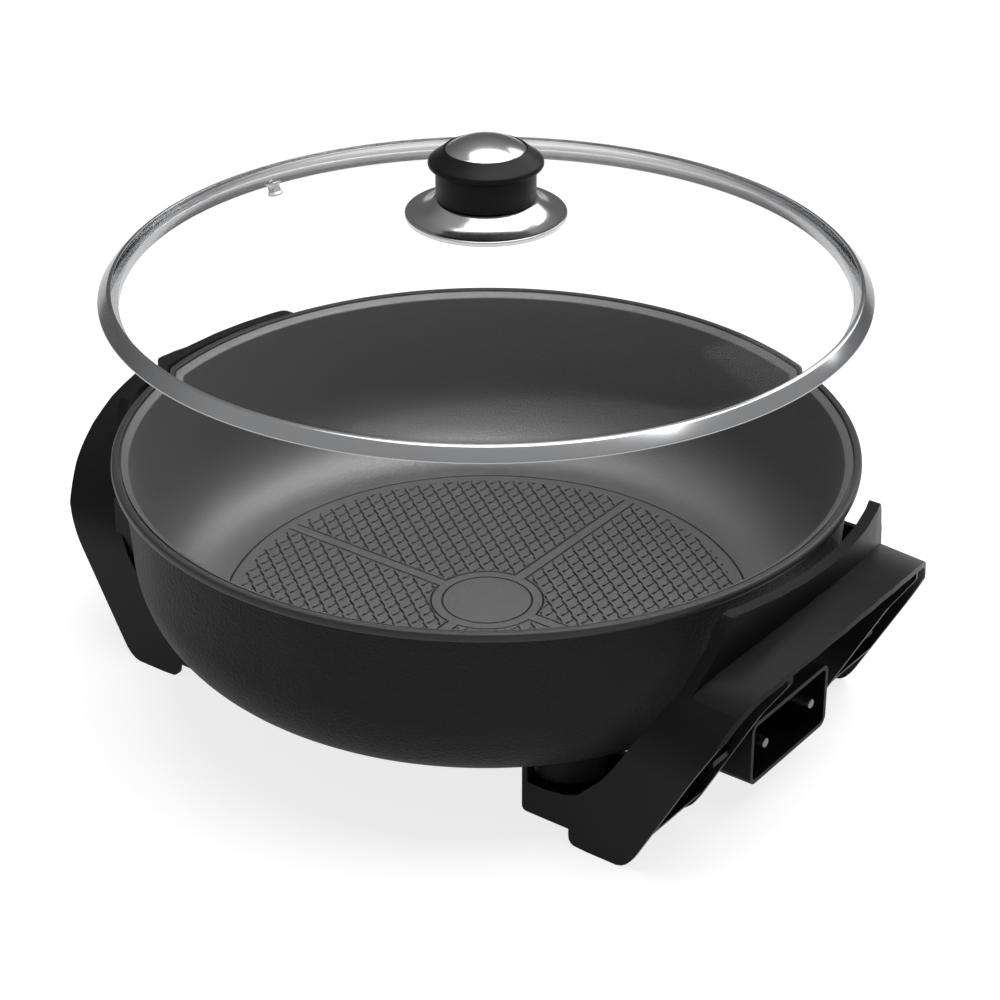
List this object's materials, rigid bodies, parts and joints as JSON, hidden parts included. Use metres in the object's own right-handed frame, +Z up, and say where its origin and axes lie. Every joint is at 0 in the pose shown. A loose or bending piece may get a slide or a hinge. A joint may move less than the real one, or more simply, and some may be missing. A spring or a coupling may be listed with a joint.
{
  "type": "electric skillet",
  "caption": "Round deep electric skillet on moulded handles that are its feet, with a plug-in socket and a lift-off domed glass lid, lid shown raised.",
  "frame": {"origin": "on the table, under the middle of the round pan", "axes": "+Z up; the two handles lie along X and the socket faces +X"},
  "size_m": [0.428, 0.361, 0.2855],
  "materials": {
    "cast_coating": "dark non-stick coating",
    "element_steel": "matte",
    "bright_steel": "polished",
    "satin_steel": "satin",
    "phenolic": "satin",
    "knob_black": "satin",
    "ceramic": "matte",
    "silicone": "matte",
    "zinc": "satin",
    "lid_glass": "clear"
  },
  "bodies": {
    "pan": {"pan_body": "cast_coating", "heating_element": "element_steel", "socket_shroud": "phenolic", "terminal_pin_near": "bright_steel", "terminal_bush_near": "ceramic", "shroud_screw_near": "zinc", "terminal_pin_far": "bright_steel", "terminal_bush_far": "ceramic", "shroud_screw_far": "zinc", "handle_socket_end": "phenolic", "handle_plain_end": "phenolic", "handle_screw_1": "zinc", "handle_washer_1": "zinc", "handle_screw_2": "zinc", "handle_washer_2": "zinc", "handle_screw_3": "zinc", "handle_washer_3": "zinc", "handle_screw_4": "zinc", "handle_washer_4": "zinc"},
    "lid": {"lid_band": "satin_steel", "lid_glass": "lid_glass", "steam_vent": "bright_steel", "knob_plate": "bright_steel", "knob_collar": "knob_black", "knob_grip": "knob_black", "knob_cap": "bright_steel", "knob_screw": "zinc", "knob_seal": "silicone", "knob_washer": "zinc"}
  },
  "joints": [
    {"name": "lid_lift", "type": "slide", "parent": "pan", "child": "lid", "axis": [0, 0, 1], "range_m": [-0.082, 0.06]}
  ]
}
